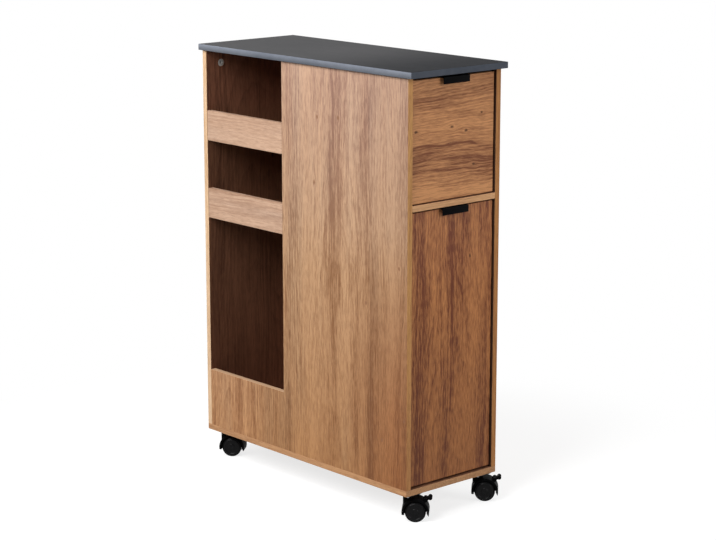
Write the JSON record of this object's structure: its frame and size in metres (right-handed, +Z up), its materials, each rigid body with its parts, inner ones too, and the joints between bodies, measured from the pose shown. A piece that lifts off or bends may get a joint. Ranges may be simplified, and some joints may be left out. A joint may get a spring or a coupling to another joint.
{
  "type": "slim rolling cart",
  "caption": "Narrow oak-look kitchen cart with a dark top, open side shelves behind slats, a drawer, a tall pull-out with trays, and braked twin-wheel castors.",
  "frame": {"origin": "on the floor, below the middle of the top board", "axes": "+Z up, -Y towards the drawer front, -X towards the open shelves"},
  "size_m": [0.2565, 0.6231, 0.85],
  "materials": {
    "oak_board": "oak-look foil, satin",
    "slate_top": "slate grey foil, satin",
    "hardboard": "smooth hardboard",
    "zinc_fastener": "zinc plated",
    "slide_steel": "zinc plated",
    "black_metal": "matt black powder coat",
    "castor_plate": "black painted",
    "axle_steel": "bright",
    "castor_plastic": "black moulded",
    "castor_wheel": "black moulded"
  },
  "bodies": {
    "carcass": {"top_board": "slate_top", "bottom_board": "oak_board", "side_panel_left": "oak_board", "side_panel_right": "oak_board", "rear_panel": "oak_board", "divider_panel": "oak_board", "middle_board": "oak_board", "upper_shelf": "oak_board", "upper_slat": "oak_board", "lower_shelf": "oak_board", "lower_slat": "oak_board", "cam_locks": "zinc_fastener", "cam_bolts": "zinc_fastener", "base_screws": "zinc_fastener", "drawer_slide_cabinet_members": "slide_steel", "pullout_slide_cabinet_members": "slide_steel", "castor_plates": "castor_plate", "castor_pins": "axle_steel", "castor_screws": "zinc_fastener"},
    "drawer": {"drawer_front": "oak_board", "drawer_side_left": "oak_board", "drawer_side_right": "oak_board", "drawer_back": "oak_board", "drawer_bottom": "hardboard", "drawer_pull": "black_metal", "drawer_pull_screws": "zinc_fastener", "drawer_slide_box_members": "slide_steel"},
    "drawer_slide_middles": {"drawer_slide_middle_members": "slide_steel"},
    "pullout": {"pullout_front": "oak_board", "pullout_back": "oak_board", "pullout_side_left": "oak_board", "pullout_side_right": "oak_board", "upper_tray_rail_left": "oak_board", "upper_tray_rail_right": "oak_board", "pullout_bottom": "oak_board", "upper_tray": "oak_board", "pullout_pull": "black_metal", "pullout_pull_screws": "zinc_fastener", "pullout_slide_box_members": "slide_steel"},
    "pullout_slide_middles": {"pullout_slide_middle_members": "slide_steel"},
    "castor_front_left": {"castor_front_left_hood": "castor_plastic", "castor_front_left_axle": "axle_steel"},
    "castor_front_left_wheel_a": {"castor_front_left_wheel_a": "castor_wheel"},
    "castor_front_left_wheel_b": {"castor_front_left_wheel_b": "castor_wheel"},
    "castor_front_left_brake_lever": {"castor_front_left_brake_lever": "castor_plastic"},
    "castor_front_right": {"castor_front_right_hood": "castor_plastic", "castor_front_right_axle": "axle_steel"},
    "castor_front_right_wheel_a": {"castor_front_right_wheel_a": "castor_wheel"},
    "castor_front_right_wheel_b": {"castor_front_right_wheel_b": "castor_wheel"},
    "castor_front_right_brake_lever": {"castor_front_right_brake_lever": "castor_plastic"},
    "castor_rear_left": {"castor_rear_left_hood": "castor_plastic", "castor_rear_left_axle": "axle_steel"},
    "castor_rear_left_wheel_a": {"castor_rear_left_wheel_a": "castor_wheel"},
    "castor_rear_left_wheel_b": {"castor_rear_left_wheel_b": "castor_wheel"},
    "castor_rear_right": {"castor_rear_right_hood": "castor_plastic", "castor_rear_right_axle": "axle_steel"},
    "castor_rear_right_wheel_a": {"castor_rear_right_wheel_a": "castor_wheel"},
    "castor_rear_right_wheel_b": {"castor_rear_right_wheel_b": "castor_wheel"}
  },
  "joints": [
    {"name": "drawer_slide", "type": "slide", "parent": "carcass", "child": "drawer", "axis": [0, -1, 0], "range_m": [0, 0.28]},
    {"name": "drawer_slide_middles", "type": "slide", "parent": "carcass", "child": "drawer_slide_middles", "axis": [0, -1, 0], "range_m": [0, 0.14]},
    {"name": "pullout_slide", "type": "slide", "parent": "carcass", "child": "pullout", "axis": [0, -1, 0], "range_m": [0, 0.28]},
    {"name": "pullout_slide_middles", "type": "slide", "parent": "carcass", "child": "pullout_slide_middles", "axis": [0, -1, 0], "range_m": [0, 0.14]},
    {"name": "front_left_swivel", "type": "hinge", "parent": "carcass", "child": "castor_front_left", "pos_m": [-0.092, -0.274, 0.0495], "axis": [0, 0, 1], "continuous": true},
    {"name": "front_left_wheel_a_spin", "type": "hinge", "parent": "castor_front_left", "child": "castor_front_left_wheel_a", "pos_m": [-0.08228, -0.28407, 0.02], "axis": [0.7193, 0.6947, 0], "continuous": true},
    {"name": "front_left_wheel_b_spin", "type": "hinge", "parent": "castor_front_left", "child": "castor_front_left_wheel_b", "pos_m": [-0.08228, -0.28407, 0.02], "axis": [0.7193, 0.6947, 0], "continuous": true},
    {"name": "front_left_brake", "type": "hinge", "parent": "castor_front_left", "child": "castor_front_left_brake_lever", "pos_m": [-0.06924, -0.29757, 0.04237], "axis": [0.7193, 0.6947, 0], "range_deg": [0, 18]},
    {"name": "front_right_swivel", "type": "hinge", "parent": "carcass", "child": "castor_front_right", "pos_m": [0.092, -0.274, 0.0495], "axis": [0, 0, 1], "continuous": true},
    {"name": "front_right_wheel_a_spin", "type": "hinge", "parent": "castor_front_right", "child": "castor_front_right_wheel_a", "pos_m": [0.10172, -0.28407, 0.02], "axis": [0.7193, 0.6947, 0], "continuous": true},
    {"name": "front_right_wheel_b_spin", "type": "hinge", "parent": "castor_front_right", "child": "castor_front_right_wheel_b", "pos_m": [0.10172, -0.28407, 0.02], "axis": [0.7193, 0.6947, 0], "continuous": true},
    {"name": "front_right_brake", "type": "hinge", "parent": "castor_front_right", "child": "castor_front_right_brake_lever", "pos_m": [0.11476, -0.29757, 0.04237], "axis": [0.7193, 0.6947, 0], "range_deg": [0, 18]},
    {"name": "rear_left_swivel", "type": "hinge", "parent": "carcass", "child": "castor_rear_left", "pos_m": [-0.092, 0.276, 0.0495], "axis": [0, 0, 1], "continuous": true},
    {"name": "rear_left_wheel_a_spin", "type": "hinge", "parent": "castor_rear_left", "child": "castor_rear_left_wheel_a", "pos_m": [-0.083, 0.26527, 0.02], "axis": [0.766, 0.6428, 0], "continuous": true},
    {"name": "rear_left_wheel_b_spin", "type": "hinge", "parent": "castor_rear_left", "child": "castor_rear_left_wheel_b", "pos_m": [-0.083, 0.26527, 0.02], "axis": [0.766, 0.6428, 0], "continuous": true},
    {"name": "rear_right_swivel", "type": "hinge", "parent": "carcass", "child": "castor_rear_right", "pos_m": [0.092, 0.276, 0.0495], "axis": [0, 0, 1], "continuous": true},
    {"name": "rear_right_wheel_a_spin", "type": "hinge", "parent": "castor_rear_right", "child": "castor_rear_right_wheel_a", "pos_m": [0.10303, 0.26738, 0.02], "axis": [0.6157, 0.788, 0], "continuous": true},
    {"name": "rear_right_wheel_b_spin", "type": "hinge", "parent": "castor_rear_right", "child": "castor_rear_right_wheel_b", "pos_m": [0.10303, 0.26738, 0.02], "axis": [0.6157, 0.788, 0], "continuous": true}
  ],
  "couplings": [
    {"joint": "drawer_slide_middles", "follows": "drawer_slide", "ratio": 0.5},
    {"joint": "pullout_slide_middles", "follows": "pullout_slide", "ratio": 0.5}
  ]
}
